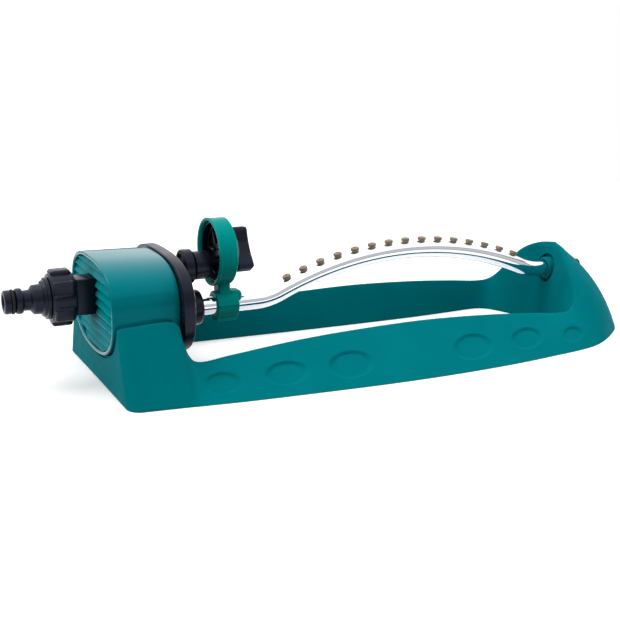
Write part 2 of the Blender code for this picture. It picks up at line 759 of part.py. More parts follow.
def housing_screws():
    for side, name in ((1, "left"), (-1, "right")):
        turned(
            f"housing_screw_{name}",
            [(33.0, 0), (32.0, 1.6), (16.4, 1.6), (16.4, 3.4), (14.6, 3.0), (14.6, 0)],
            STEEL,
            (SCREW_X, side * SCREW_Y, 0),
            steps=12,
            along="Z",
        )


base_frame()
motor_housing()
housing_cover()
bearing_plate("front_bearing_plate", -65.2 * MM, ((0, 2.2 * MM), (LAY_Y, 2.2 * MM)))
bearing_plate("rear_bearing_plate", -45.4 * MM, ((0, 3.3 * MM), (LAY_Y, 2.2 * MM)))
inlet_connector()
drive_train()
crank()
spray_tube()
tube_bearings()
dial_housing()
slot_plate()
range_knob()
housing_screws()

# ---------------------------------------------------------------- joint axes

INLET_AXIS = (0, 0, INLET_Z)
hang("swivel_axis", INLET_AXIS, ("swivel_nut", "connector_nose", "nose_oring", "hose_washer"))
hang("turbine_axis", INLET_AXIS, ("turbine_wheel", "turbine_shaft", "turbine_pinion"))
hang("lay_axis", (0, LAY_Y, INLET_Z), ("lay_gear",))
CRANK_AXIS = hang("crank_axis", INLET_AXIS, ("crank", "output_gear"))
hang("roller_axis", (0, 0, INLET_Z + CRANK_THROW), ("crank_roller",), CRANK_AXIS)
SWUNG = ["spray_tube", "dial_housing", "slot_plate", "tube_plug"]
SWUNG += [f"nozzle_{n:02d}" for n in range(1, NOZZLES + 1)]
TUBE_AXIS = hang("tube_axis", (0, 0, TUBE_Z), SWUNG)
hang("knob_axis", (0, 0, DIAL_Z), ("range_knob", "selector_disc"), TUBE_AXIS)
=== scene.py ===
"""The looks of an oscillating lawn sprinkler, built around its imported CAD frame.

Shapes are given in millimetres in the sprinkler's own frame: X runs along the spray tube from the hose
end, X = 0 is where the tube leaves its boss, Y = 0 is the plane of symmetry and Z = 0 is the ground.
"""

import json
import math

import bmesh
import bpy
from mathutils import Matrix, Vector

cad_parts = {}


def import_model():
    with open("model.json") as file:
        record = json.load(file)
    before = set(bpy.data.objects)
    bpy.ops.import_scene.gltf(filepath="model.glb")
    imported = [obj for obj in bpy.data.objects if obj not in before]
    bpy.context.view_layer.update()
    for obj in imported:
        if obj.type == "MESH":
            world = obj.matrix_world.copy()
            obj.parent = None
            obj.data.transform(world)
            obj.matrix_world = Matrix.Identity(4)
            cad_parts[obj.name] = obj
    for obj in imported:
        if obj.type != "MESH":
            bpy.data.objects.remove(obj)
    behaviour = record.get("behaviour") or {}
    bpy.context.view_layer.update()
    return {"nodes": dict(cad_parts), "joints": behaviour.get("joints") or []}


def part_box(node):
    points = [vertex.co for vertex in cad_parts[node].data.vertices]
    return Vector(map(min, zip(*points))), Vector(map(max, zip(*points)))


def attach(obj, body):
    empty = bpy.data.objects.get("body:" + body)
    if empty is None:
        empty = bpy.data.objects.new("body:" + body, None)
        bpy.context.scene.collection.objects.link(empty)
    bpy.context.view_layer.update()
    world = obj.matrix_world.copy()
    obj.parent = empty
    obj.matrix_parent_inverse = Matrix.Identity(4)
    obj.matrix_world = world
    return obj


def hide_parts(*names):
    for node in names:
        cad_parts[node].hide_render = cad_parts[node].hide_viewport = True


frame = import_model()

MM = 0.001
JOINTS = {joint["name"]: joint for joint in frame["joints"]}

# Heights of the axes, and where X = 0 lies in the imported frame
TUBE_Z = JOINTS["tube_swing"]["pos_m"][2] / MM
INLET_Z = JOINTS["inlet_swivel"]["pos_m"][2] / MM
PIN_Z = JOINTS["roller_spin"]["pos_m"][2] / MM
DIAL_Z = JOINTS["range_knob_turn"]["pos_m"][2] / MM
TUBE_LEFT = -16.0
ZERO_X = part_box("spray_tube")[0].x / MM - TUBE_LEFT

# Driving dimensions, as in the CAD
TUBE_R = 6.35
TUBE_WALL = 1.0
TUBE_RIGHT = 315.0
HOUSING_LEFT = -82.0
HOUSING_RIGHT = -35.3
HOUSING_Z = 54.5
HALF_WIDTH = 53.2
HALF_HEIGHT = 33.0
DIAL_R = 24.2
SLEEVE_R = 10.3


# ---------------------------------------------------------------- mesh tools

def place(name, shape, material, body, replaced, smooth_deg=32):
    """Turns a bmesh in millimetres into a piece that rides on a body and stands for CAD nodes."""
    bmesh.ops.recalc_face_normals(shape, faces=shape.faces)
    bmesh.ops.transform(
        shape, matrix=Matrix.Scale(MM, 4) @ Matrix.Translation((ZERO_X, 0, 0)), verts=shape.verts
    )
    mesh = bpy.data.meshes.new(name)
    shape.to_mesh(mesh)
    shape.free()
    mesh.shade_smooth()
    mesh.set_sharp_from_angle(angle=math.radians(smooth_deg))
    obj = bpy.data.objects.new(name, mesh)
    bpy.context.scene.collection.objects.link(obj)
    mesh.materials.append(material)
    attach(obj, body)
    if replaced:
        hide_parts(*replaced)


def joined(*shapes):
    """One bmesh that holds all of these, overlapping as they lie."""
    whole = bmesh.new()
    for shape in shapes:
        mesh = bpy.data.meshes.new("joining")
        shape.to_mesh(mesh)
        shape.free()
        whole.from_mesh(mesh)
        bpy.data.meshes.remove(mesh)
    return whole


def cut(first, *cutters):
    """The first closed bmesh less the others."""
    objects = []
    for shape in (first, *cutters):
        bmesh.ops.recalc_face_normals(shape, faces=shape.faces)
        mesh = bpy.data.meshes.new("boolean")
        shape.to_mesh(mesh)
        shape.free()
        obj = bpy.data.objects.new("boolean", mesh)
        bpy.context.scene.collection.objects.link(obj)
        objects.append(obj)
    base = objects[0]
    for other in objects[1:]:
        step = base.modifiers.new("step", "BOOLEAN")
        step.operation = "DIFFERENCE"
        step.object = other
    bpy.context.view_layer.update()
    result = bmesh.new()
    evaluated = base.evaluated_get(bpy.context.evaluated_depsgraph_get())
    result.from_mesh(evaluated.to_mesh())
    evaluated.to_mesh_clear()
    for obj in objects:
        mesh = obj.data
        bpy.data.objects.remove(obj, do_unlink=True)
        bpy.data.meshes.remove(mesh)
    return result


def rounded(points, radius, closed=False, steps=4):
    """A polyline of 2D points with its corners rounded, less where its sides are short."""
    points = [Vector(point) for point in points]
    count = len(points)
    made = []
    for k, point in enumerate(points):
        if not closed and k in (0, count - 1):
            made.append(point)
            continue
        before, after = points[k - 1], points[(k + 1) % count]
        to_before, to_after = before - point, after - point
        lengths = to_before.length, to_after.length
        bend = to_before.angle(to_after)
        if bend > math.radians(172) or min(lengths) < 1e-6:
            made.append(point)
            continue
        reach = min(radius / math.tan(bend / 2), 0.45 * lengths[0], 0.45 * lengths[1])
        start = point + to_before.normalized() * reach
        end = point + to_after.normalized() * reach
        for step in range(steps + 1):
            t = step / steps
            made.append(start * (1 - t) ** 2 + point * 2 * t * (1 - t) + end * t * t)
    return made


def skin(rings, cap_first=True, cap_last=True):
    """Faces between rings of equally many points."""
    shape = bmesh.new()
    rows = [[shape.verts.new(point) for point in ring] for ring in rings]
    count = len(rows[0])
    for row, following in zip(rows, rows[1:]):
        for k in range(count):
            after = (k + 1) % count
            shape.faces.new((row[k], row[after], following[after], following[k]))
    if cap_first:
        shape.faces.new(rows[0])
    if cap_last:
        shape.faces.new(rows[-1])
    return shape


def turned(profile, z, soften=0.4, steps=64):
    """A turned piece along X; its profile of (x, radius) corners is closed, or ends on the axis."""
    on_axis = profile[0][1] == 0
    line = rounded(profile, soften, closed=not on_axis)
    if on_axis:
        line = [Vector((point.x, max(point.y, 0.001))) for point in line]
    else:
        line.append(line[0])
    rings = []
    for point in line:
        angles = (2 * math.pi * k / steps for k in range(steps))
        rings.append([(point.x, point.y * math.cos(a), z + point.y * math.sin(a)) for a in angles])
    shape = skin(rings, cap_first=on_axis, cap_last=on_axis)
    bmesh.ops.remove_doubles(shape, verts=shape.verts, dist=0.0005)
    return shape


def block(size, centre, soften=0.8, turn=0.0, segments=3):
    """A box with rounded edges, turned about X through its centre."""
    shape = bmesh.new()
    bmesh.ops.create_cube(shape, size=1)
    bmesh.ops.scale(shape, vec=size, verts=shape.verts)
    if soften:
        bmesh.ops.bevel(
            shape, geom=shape.edges[:], offset=soften, segments=segments, profile=0.5, affect="EDGES"
        )
    matrix = Matrix.Translation(centre) @ Matrix.Rotation(turn, 4, "X")
    bmesh.ops.transform(shape, matrix=matrix, verts=shape.verts)
    return shape


def drum(radius, left, right, z):
    """A plain cylinder along X, for cutting."""
    return turned([(left, 0), (left, radius), (right, radius), (right, 0)], z, soften=0, steps=48)


# Squarish ovals: half width, half height, height of the middle, power above the middle and below it
HOUSING_OVAL = (HALF_WIDTH, HALF_HEIGHT, HOUSING_Z, 2.75, 2.35)
COVER_OVAL = (HALF_WIDTH + 6.4, 33.9, HOUSING_Z - 0.9, 2.9, 2.5)


POWER_ABOVE, POWER_BELOW = HOUSING_OVAL[3:]
OUTLINE_POINTS = 144


def outline(wider, oval=HOUSING_OVAL):
    """A squarish oval, made wider all round, as (y, z) points."""
    half_width, half_height, middle, power_above, power_below = oval
    points = []
    for k in range(OUTLINE_POINTS):
        angle = 2 * math.pi * k / OUTLINE_POINTS
        power = power_above if math.sin(angle) >= 0 else power_below
        across = math.copysign(abs(math.cos(angle)) ** (2 / power), math.cos(angle))
        up = math.copysign(abs(math.sin(angle)) ** (2 / power), math.sin(angle))
        points.append(((half_width + wider) * across, middle + (half_height + wider) * up))
    return points


def oval_shell(profile, soften=0.6, closed=True, oval=HOUSING_OVAL):
    """A shell along X round an oval; the profile holds (x, how far outside the oval)."""
    line = rounded(profile, soften, closed=closed)
    if closed:
        line.append(line[0])
    rings = [[(point.x, y, z) for y, z in outline(point.y, oval)] for point in line]
    shape = skin(rings, cap_first=not closed, cap_last=not closed)
    bmesh.ops.remove_doubles(shape, verts=shape.verts, dist=0.0005)
    return shape


def smoothstep(low, high, value):
    t = min(max((value - low) / (high - low), 0.0), 1.0)
    return t * t * (3 - 2 * t)


# ---------------------------------------------------------------- materials

class Nodes:
    """Short ways to add and link shader nodes."""

    def __init__(self, name):
        self.material = bpy.data.materials.new(name)
        self.material.use_nodes = True
        self.tree = self.material.node_tree
        self.shader = self.tree.nodes["Principled BSDF"]
        self.place = self.add("ShaderNodeTexCoord").outputs["Object"]

    def add(self, kind, **values):
        node = self.tree.nodes.new(kind)
        for key, value in values.items():
            setattr(node, key, value)
        return node

    def link(self, source, target):
        self.tree.links.new(source, target)

    def noise(self, scale, detail=3.0, stretch=None):
        node = self.add("ShaderNodeTexNoise")
        node.inputs["Scale"].default_value = scale
        node.inputs["Detail"].default_value = detail
        if stretch:
            mapping = self.add("ShaderNodeMapping")
            mapping.inputs["Scale"].default_value = stretch
            self.link(self.place, mapping.inputs["Vector"])
            self.link(mapping.outputs["Vector"], node.inputs["Vector"])
        else:
            self.link(self.place, node.inputs["Vector"])
        return node.outputs["Fac"]

    def to_range(self, value, low, high, from_low=0.3, from_high=0.7):
        node = self.add("ShaderNodeMapRange")
        node.inputs["From Min"].default_value = from_low
        node.inputs["From Max"].default_value = from_high
        node.inputs["To Min"].default_value = low
        node.inputs["To Max"].default_value = high
        self.link(value, node.inputs["Value"])
        return node.outputs["Result"]

    def colours(self, value, first, second):
        node = self.add("ShaderNodeMix", data_type="RGBA")
        self.link(value, node.inputs["Factor"])
        node.inputs["A"].default_value = (*first, 1)
        node.inputs["B"].default_value = (*second, 1)
        return node.outputs["Result"]

    def bump(self, height, strength, distance, below=None):
        node = self.add("ShaderNodeBump")
        node.inputs["Strength"].default_value = strength
        node.inputs["Distance"].default_value = distance
        self.link(height, node.inputs["Height"])
        if below:
            self.link(below, node.inputs["Normal"])
        return node.outputs["Normal"]

    def edge_normal(self, radius):
        node = self.add("ShaderNodeBevel", samples=4)
        node.inputs["Radius"].default_value = radius
        return node.outputs["Normal"]

    def set(self, name, value):
        self.shader.inputs[name].default_value = value


def shaded(colour, factor):
    return tuple(channel * factor for channel in colour)


def plastic(
    name, colour, rough,
    grain=0.12, edge=0.3 * MM, variation=0.04, specular=0.5, tint=(1, 1, 1), ior=1.48,
):
    """Moulded plastic: flow-mottled colour, a fine grain, faint handling marks and softened edges."""
    nodes = Nodes(name)
    mottle = nodes.noise(38, 4)
    flow = nodes.noise(16, 3, stretch=(1, 6, 6))
    blend = nodes.to_range(mottle, 0, 1)
    base = nodes.colours(blend, shaded(colour, 1 - variation), shaded(colour, 1 + variation))
    dusty = tuple(channel * 0.96 + 0.012 for channel in colour)
    worn = nodes.add("ShaderNodeMix", data_type="RGBA")
    nodes.link(nodes.to_range(flow, 0, 0.16, 0.5, 0.85), worn.inputs["Factor"])
    nodes.link(base, worn.inputs["A"])
    worn.inputs["B"].default_value = (*dusty, 1)
    nodes.link(worn.outputs["Result"], nodes.shader.inputs["Base Color"])
    marks = nodes.noise(120, 5)
    nodes.link(nodes.to_range(marks, rough * 0.88, rough * 1.16), nodes.shader.inputs["Roughness"])
    fine = nodes.noise(2600, 2)
    soft = nodes.edge_normal(edge)
    textured = nodes.bump(fine, grain, 0.05 * MM, soft)
    nodes.link(nodes.bump(mottle, 0.04, 0.4 * MM, textured), nodes.shader.inputs["Normal"])
    nodes.set("IOR", ior)
    nodes.set("Specular IOR Level", specular)
    nodes.set("Specular Tint", (*tint, 1))
    return nodes.material


def rubber(name, colour, sheen=0.0):
    """Soft rubber: mottled, dull and slightly uneven."""
    nodes = Nodes(name)
    mottle = nodes.noise(400, 4)
    base = nodes.colours(nodes.to_range(mottle, 0, 1), shaded(colour, 0.8), shaded(colour, 1.2))
    nodes.link(base, nodes.shader.inputs["Base Color"])
    nodes.link(nodes.to_range(mottle, 0.6, 0.8), nodes.shader.inputs["Roughness"])
    nodes.link(nodes.bump(nodes.noise(1800, 3), 0.25, 0.06 * MM), nodes.shader.inputs["Normal"])
    nodes.set("Specular IOR Level", 0.3)
    nodes.set("Sheen Weight", sheen)
    return nodes.material


def metal(name, colour, rough, drawn=0.05):
    """Drawn metal: hair lines along X and cloudy polish."""
    nodes = Nodes(name)
    cloud = nodes.noise(60, 4)
    lines = nodes.noise(900, 3, stretch=(0.02, 1, 1))
    base = nodes.colours(nodes.to_range(cloud, 0, 1), shaded(colour, 0.95), colour)
    nodes.link(base, nodes.shader.inputs["Base Color"])
    nodes.link(nodes.to_range(cloud, rough * 0.8, rough * 1.3), nodes.shader.inputs["Roughness"])
    nodes.link(nodes.bump(lines, drawn, 0.03 * MM), nodes.shader.inputs["Normal"])
    nodes.set("Metallic", 1.0)
    return nodes.material


# Tints of the head-on reflection, which keep dark and saturated colours from greying
TEAL_GLOSS = (0.05, 0.85, 1.0)
BLACK_GLOSS = (0.62, 0.68, 1.0)
TEAL = plastic(
    "satin_teal", (0.0, 0.176, 0.203), 0.46,
    grain=0.16, edge=0.5 * MM, specular=0.03, tint=TEAL_GLOSS, ior=1.2,
)
GLOSS_TEAL = plastic(
    "gloss_teal", (0.0, 0.166, 0.196), 0.16,
    grain=0.02, variation=0.03, specular=0.36, tint=TEAL_GLOSS,
)
# Painted light: the ribs' teal is a lighter copy of the housing's teal, standing for how brightly the ribs
# catch the light
LIT_LOUVRE_TEAL = plastic(
    "louvre_teal_painted_light", (0.0, 0.230, 0.265), 0.35,
    grain=0.04, specular=0.08, tint=TEAL_GLOSS, ior=1.25,
)
DIAL_TEAL = plastic(
    "dial_teal", (0.0, 0.285, 0.260), 0.26,
    grain=0.04, specular=0.12, tint=TEAL_GLOSS, ior=1.25,
)
BLACK = plastic(
    "black_plastic", (0.0050, 0.0056, 0.0105), 0.28,
    grain=0.06, variation=0.2, specular=0.30, tint=BLACK_GLOSS,
)
WHITE = plastic("natural_acetal", (0.72, 0.70, 0.65), 0.40)
TAN = rubber("tan_elastomer", (0.31, 0.235, 0.16), 0.10)
RUBBER = rubber("black_rubber", (0.006, 0.0065, 0.008))
POLISHED = metal("polished_aluminium", (0.80, 0.82, 0.88), 0.05)
STEEL = metal("stainless_steel", (0.58, 0.58, 0.57), 0.28, drawn=0.1)


# ---------------------------------------------------------------- base frame

# Each key: ground edge (x, y), ridge (x, y, z), foot of the inner wall (x, y), rounding of the ridge,
# and how far the outer face bulges
SIDE_KEYS = (
    (-42, 84.0, -42, 56.5, 51.3, -42, 52.0, 2.0, 0),
    (-36.5, 84.9, -36.5, 57.0, 39.0, -36.5, 54.0, 2.0, 0),
    (-32, 85.5, -32, 57.3, 27.0, -32, 55.5, 2.0, 0),
    (-24, 86.4, -24, 57.5, 22.2, -24, 56.5, 2.0, 0),
    (0, 89.2, 0, 57.5, 24.6, 0, 56.5, 2.0, 0),
    (50, 93.0, 50, 57.5, 29.2, 50, 54.0, 2.2, 0),
    (100, 95.9, 100, 57.5, 31.4, 100, 51.5, 2.4, 0),
    (150, 96.4, 150, 57.5, 31.8, 150, 50.0, 2.4, 0),
    (200, 93.8, 200, 57.5, 29.6, 200, 49.5, 2.4, 0),
    (240, 88.9, 238, 57.5, 26.4, 236, 51.0, 2.2, 0.3),
    (266, 85.0, 261, 57.5, 24.0, 256, 52.0, 2.4, 0.8),
    (284, 80.0, 274.5, 57.0, 24.8, 266, 48.5, 2.8, 1.2),
    (299, 71.6, 282.0, 53.0, 31.8, 271.0, 41.0, 4.0, 2.4),
    (314, 60.2, 286.0, 43.0, 45.0, 275.0, 31.5, 6.0, 3.6),
    (329, 45.8, 289.0, 30.0, 57.5, 278.5, 21.0, 7.5, 4.8),
    (341.5, 25.5, 295.0, 16.0, 64.8, 281.5, 10.5, 8.0, 5.6),
    (347, 0, 298.0, 0, 68.0, 282.5, 0, 8.5, 6.0),
)
END_X = -80.0
END_HALF_WIDTH = 80.9
END_FOOT_Y = 50.0
CORNER_R = 10.0
CORNER_KEY = (
    END_X + CORNER_R, END_HALF_WIDTH, END_X + CORNER_R - 4, 56.5, 51.3, END_X + CORNER_R, 51.0, 2.0, 0
)
RIDGE_GAP = 1.3
WALL = 2.5
BEARING_BORE_R = 9.1
COUNTERBORE_R = 11.3
COLUMN_STEP = 1.1
FACE_ROWS = 52
RIDGE_ROWS = 7

# Shallow ovals on the outer faces: middle x, height up the face, half length, half height
OVALS = (
    (-15, 10.3, 11.7, 5.0),
    (30, 12.0, 14.4, 5.6),
    (77, 12.7, 15.5, 6.6),
    (175, 13.0, 15.4, 6.6),
    (223.5, 12.6, 13.4, 5.4),
    (266.5, 10.2, 9.0, 4.0),
)
OVAL_LEAN = 0.35
OVAL_DEPTH = 1.5


def end_wall_keys():
    """The end wall, from its middle to the corner; its ridge follows the housing's outline."""
    keys = []
    steps = 26
    low, high = -90.0, -7.0
    straight = END_HALF_WIDTH - CORNER_R
    for k in range(steps):
        share = k / steps
        angle = math.radians(low + (high - low) * share)
        across = math.cos(angle) ** (2 / POWER_BELOW)
        down = abs(math.sin(angle)) ** (2 / POWER_BELOW)
        ridge_y = (HALF_WIDTH + RIDGE_GAP) * across
        ridge_z = HOUSING_Z - (HALF_HEIGHT + RIDGE_GAP) * down
        ground_y = straight * share
        foot_y = END_FOOT_Y * share
        keys.append((END_X, ground_y, END_X, ridge_y, ridge_z, END_X + 9, foot_y, 1.6, 0))
    return keys


def corner_keys():
    """The rounded upright corner, from the end wall to the side."""
    keys = []
    steps = 9
    for k in range(steps):
        angle = math.radians(90 * k / steps)
        turn_x, turn_y = 1 - math.cos(angle), math.sin(angle)
        ground = END_X + CORNER_R * turn_x, END_HALF_WIDTH - CORNER_R * (1 - turn_y)
        ridge = END_X + 5 * turn_x, 54.4 + 2.1 * turn_y, 48.6 + 2.7 * math.sin(angle)
        foot = END_X + 9 + turn_x, END_FOOT_Y + turn_y
        keys.append((*ground, *ridge, *foot, 1.6 + 0.4 * turn_y, 0))
    return keys


def blended(keys):
    """Catmull-Rom columns through the keys, about one column step apart."""
    made = []
    for k in range(len(keys) - 1):
        before = keys[max(k - 1, 0)]
        start, end = keys[k], keys[k + 1]
        after = keys[min(k + 2, len(keys) - 1)]
        run = math.hypot(end[0] - start[0], end[1] - start[1])
        steps = max(3, round(run / COLUMN_STEP))
        for step in range(steps):
            t = step / steps
            weights = (
                (-t + 2 * t**2 - t**3) / 2,
                (2 - 5 * t**2 + 3 * t**3) / 2,
                (t + 4 * t**2 - 3 * t**3) / 2,
                (-(t**2) + t**3) / 2,
            )
            values = zip(before, start, end, after)
            made.append([sum(w * v for w, v in zip(weights, four)) for four in values])
    made.append(list(keys[-1]))
    return made


def oval_dip(x, z):
    """How deep the outer face is sunk at a point."""
    for middle, height, half_long, half_high in OVALS:
        reach = math.hypot((x - middle - OVAL_LEAN * (z - height)) / half_long, (z - height) / half_high)
        if reach < 1.1:
            inside = (1 - reach) * min(half_long, half_high)
            return OVAL_DEPTH * smoothstep(-0.4, 0.6, inside)
    return 0.0


def column(key):
    """One closed section of the base shell: inner wall, ridge, outer face, ground edge and hollow."""
    ground = Vector((key[0], key[1], 0))
    ridge_at = Vector(key[2:5])
    foot = Vector((key[5], key[6], 0))
    across = (ground - foot).normalized()
    level = Vector((ridge_at.x, ridge_at.y, 0)) - foot
    along = level.dot(across)
    lean = (level - across * along) / ridge_at.z
    width = (ground - foot).length
    ridge = Vector((along, ridge_at.z))
    edge = Vector((width, 0))
    fall = edge - ridge
    start = ridge - ridge.normalized() * key[7]
    end = ridge + fall.normalized() * key[7]
    outward = Vector((-fall.y, fall.x)).normalized()

    def at(point):
        return foot + across * point.x + lean * point.y + Vector((0, 0, point.y))

    points = [Vector((0.6, 0)), ridge.normalized() * 0.6]
    points += [start * share for share in (0.25, 0.5, 0.75)]
    for k in range(RIDGE_ROWS):
        t = k / (RIDGE_ROWS - 1)
        points.append(start * (1 - t) ** 2 + ridge * 2 * t * (1 - t) + end * t**2)
    lip = edge - fall.normalized() * 1.0
    for k in range(1, FACE_ROWS + 1):
        t = k / FACE_ROWS
        point = end.lerp(lip, t) + outward * key[8] * 4 * t * (1 - t)
        where = at(point)
        points.append(point - outward * oval_dip(where.x, where.z))
    points.append(edge - Vector((0.35, 0)) + Vector((0, 0.3)))
    points.append(edge - Vector((1.0, 0)))
    inner_lean = ridge.x / ridge.y
    outer_lean = (width - ridge.x) / ridge.y
    left = WALL * math.hypot(1, inner_lean)
    right = width - WALL * math.hypot(1, outer_lean)
    if right - left < 1.0:
        left = right = (left + right) / 2
        left, right = left - 0.4, right + 0.4
    height = min((right - left) / max(inner_lean + outer_lean, 0.05), ridge.y - 3)
    points.append(Vector((right, 0)))
    points.append(Vector((left + inner_lean * height + 0.2, height)))
    points.append(Vector((left + inner_lean * height - 0.2, height)))
    points.append(Vector((left, 0)))
    return [at(point) for point in points]


def mirrored(shape):
    """Adds the other side of a half that is open at Y = 0."""
    copy = bmesh.ops.duplicate(shape, geom=shape.verts[:] + shape.edges[:] + shape.faces[:])
    far = [item for item in copy["geom"] if isinstance(item, bmesh.types.BMVert)]
    bmesh.ops.scale(shape, vec=(1, -1, 1), verts=far)
    bmesh.ops.remove_doubles(shape, verts=shape.verts, dist=0.001)
    return shape


def base_shell():
    keys = end_wall_keys() + corner_keys() + blended([CORNER_KEY, *SIDE_KEYS])
    columns = [column(key) for key in keys]
    for edge_column in (columns[0], columns[-1]):
        for point in edge_column:
            point.y = 0
    shell = mirrored(skin(columns, cap_first=False, cap_last=False))
    bearing_bore = drum(BEARING_BORE_R, 255, 360, TUBE_Z)
    counterbore = drum(COUNTERBORE_R, 255, 299, TUBE_Z)
    return cut(shell, counterbore, bearing_bore)


def base_frame():
    place("base_shell", base_shell(), TEAL, "base", ["base_frame"], smooth_deg=40)
    left, right, barrel_r = 296.5, 308, 13.0
    barrel = turned(
        [(left, BEARING_BORE_R), (left, barrel_r), (right, barrel_r), (right, BEARING_BORE_R)],
        TUBE_Z,
        soften=0.2,
    )
    place("bearing_barrel", barrel, TEAL, "base", ())
    seat = skin([[(x, y, z) for y, z in outline(0.6)] for x in (-100, 0)])
    floor = block((41.6, 107, 44), (-58.0, 0, 22.6), soften=0)
    hollow = block((36, 86, 20), (-58.2, 0, 7), soften=2)
    cradle = cut(floor, seat, hollow)
    place("cradle_floor", cradle, TEAL, "base", ())


# ---------------------------------------------------------------- motor housing and cover

RIB_PITCH = 6.1
FACE_X = HOUSING_LEFT + 3.6


def louvres():
    """Clapboard ribs across the sunk end face: each slopes outward as it goes down, then steps back."""
    ribs = []
    rim = 2.6
    count = 10
    top = HOUSING_Z + RIB_PITCH * count / 2
    for k in range(count):
        high = top - RIB_PITCH * k
        low = high - RIB_PITCH
        profile = rounded(
            [
                (FACE_X + 1.5, high), (FACE_X - 0.2, high), (HOUSING_LEFT + 1.0, low + 1.6),
                (HOUSING_LEFT + 1.1, low + 0.9), (FACE_X + 0.4, low + 0.5), (FACE_X + 1.5, low + 0.5),
            ],
            0.35,
            closed=True,
            steps=3,
        )
        for side in (-1, 1):
            rings = []
            sections = 24
            for step in range(sections + 1):
                ring = []
                for x, z in profile:
                    rise = min(abs(z - HOUSING_Z) / (HALF_HEIGHT - rim), 1.0)
                    power = POWER_ABOVE if z > HOUSING_Z else POWER_BELOW
                    half = (HALF_WIDTH - rim) * (1 - rise**power) ** (1 / power)
                    ring.append((x, side * half * step / sections, z))
                rings.append(ring)
            ribs.append(skin(rings))
    return joined(*ribs)


def motor_housing():
    body = oval_shell(
        [
            (HOUSING_LEFT, 0.0), (HOUSING_RIGHT, -1.2), (HOUSING_RIGHT, -3.5), (FACE_X + 2.0, -2.5),
            (FACE_X, -2.5), (HOUSING_LEFT, -2.5),
        ],
        soften=1.1,
    )
    face = oval_shell([(FACE_X, -2.0), (FACE_X + 2.0, -2.0)], soften=0, closed=False)
    stub = turned(
        [
            (-99.0, 6.6), (-99.0, 11.0), (-95.6, 11.0), (-95.6, 12.9), (-93.9, 12.9), (-93.6, 8.0),
            (FACE_X + 1.5, 8.0), (FACE_X + 1.5, 6.6),
        ],
        INLET_Z,
        soften=0.4,
    )
    collar = block((16.4, 16.5, 25.0), (-85.5, 0, INLET_Z), soften=1.0)
    collar = cut(collar, drum(6.7, -105, -60, INLET_Z))
    shape = joined(body, face)
    place("housing_shell", shape, GLOSS_TEAL, "base", ["motor_housing"], 40)
    place("louvre_shell", louvres(), LIT_LOUVRE_TEAL, "base", (), 40)
    # Painted shade: the stub and collar are black plastic, standing for the deep shade between the nut and
    # the ribs
    place("collar_shell_painted_shade", joined(stub, collar), BLACK, "base", (), 40)


def housing_cover():
    belt = oval_shell(
        [(-34.9, -13.0), (-34.9, 0.0), (-27.6, 0.0), (-24.0, -9.0), (-23.0, -12.0), (-23.0, -13.0)],
        soften=0.8,
        oval=COVER_OVAL,
    )
    front = oval_shell([(-25.0, -12.0), (-23.0, -12.0)], soften=0, closed=False, oval=COVER_OVAL)
    boss = turned(
        [
            (-25.5, 9.2), (-25.5, 12.6), (-6.3, 12.6), (-4.6, 11.9), (-4.0, 10.6), (-4.0, 9.2),
        ],
        TUBE_Z,
        soften=0.7,
    )
    collar = turned([(-25, 3.4), (-25, 7.4), (-22.4, 7.4), (-22.4, 3.4)], INLET_Z, soften=0.5)
    shape = joined(belt, front, boss, collar)
    place("cover_shell", shape, BLACK, "base", ["housing_cover"], 40)


# ---------------------------------------------------------------- inlet connector

def inlet_connector():
    nose = turned(
        [
            (-101.2, 5.0), (-101.2, 10.8), (-111.2, 10.8), (-111.2, 14.2),
            (-113.4, 14.2), (-113.8, 12.4), (-115.4, 12.2), (-116.2, 10.2), (-121.4, 10.0),
            (-123.6, 7.1), (-128.0, 6.8), (-128.6, 8.3), (-129.6, 8.7), (-132.2, 8.7),
            (-133.0, 7.9), (-133.6, 6.6), (-136.2, 6.6), (-136.4, 8.1), (-139.8, 8.1),
            (-140.8, 7.2), (-140.8, 5.6), (-139.0, 5.0),
        ],
        INLET_Z,
        soften=0.45,
    )
    place("nose_shell", nose, BLACK, "swivel", ["connector_nose"], 45)
    ring = turned(
        [(-133.8, 6.7), (-133.8, 7.7), (-134.3, 8.4), (-135.5, 8.4), (-136.0, 7.7), (-136.0, 6.7)],
        INLET_Z,
        soften=0.5,
    )
    place("nose_ring", ring, RUBBER, "swivel", ["nose_oring"])
    barrel = turned(
        [(-94.4, 11.3), (-94.4, 16.0), (-95.6, 17.2), (-109.2, 17.2), (-110.9, 15.6), (-110.9, 11.3)],
        INLET_Z,
        soften=0.6,
    )
    shapes = [barrel]
    for k in range(6):
        angle = math.radians(60 * k)
        middle = (-102.9, -16.6 * math.sin(angle), INLET_Z + 16.6 * math.cos(angle))
        shapes.append(block((14.2, 11.4, 5.2), middle, soften=2.2, turn=angle, segments=4))
    place("nut_shell", joined(*shapes), BLACK, "swivel", ["swivel_nut"], 45)


# ---------------------------------------------------------------- crank

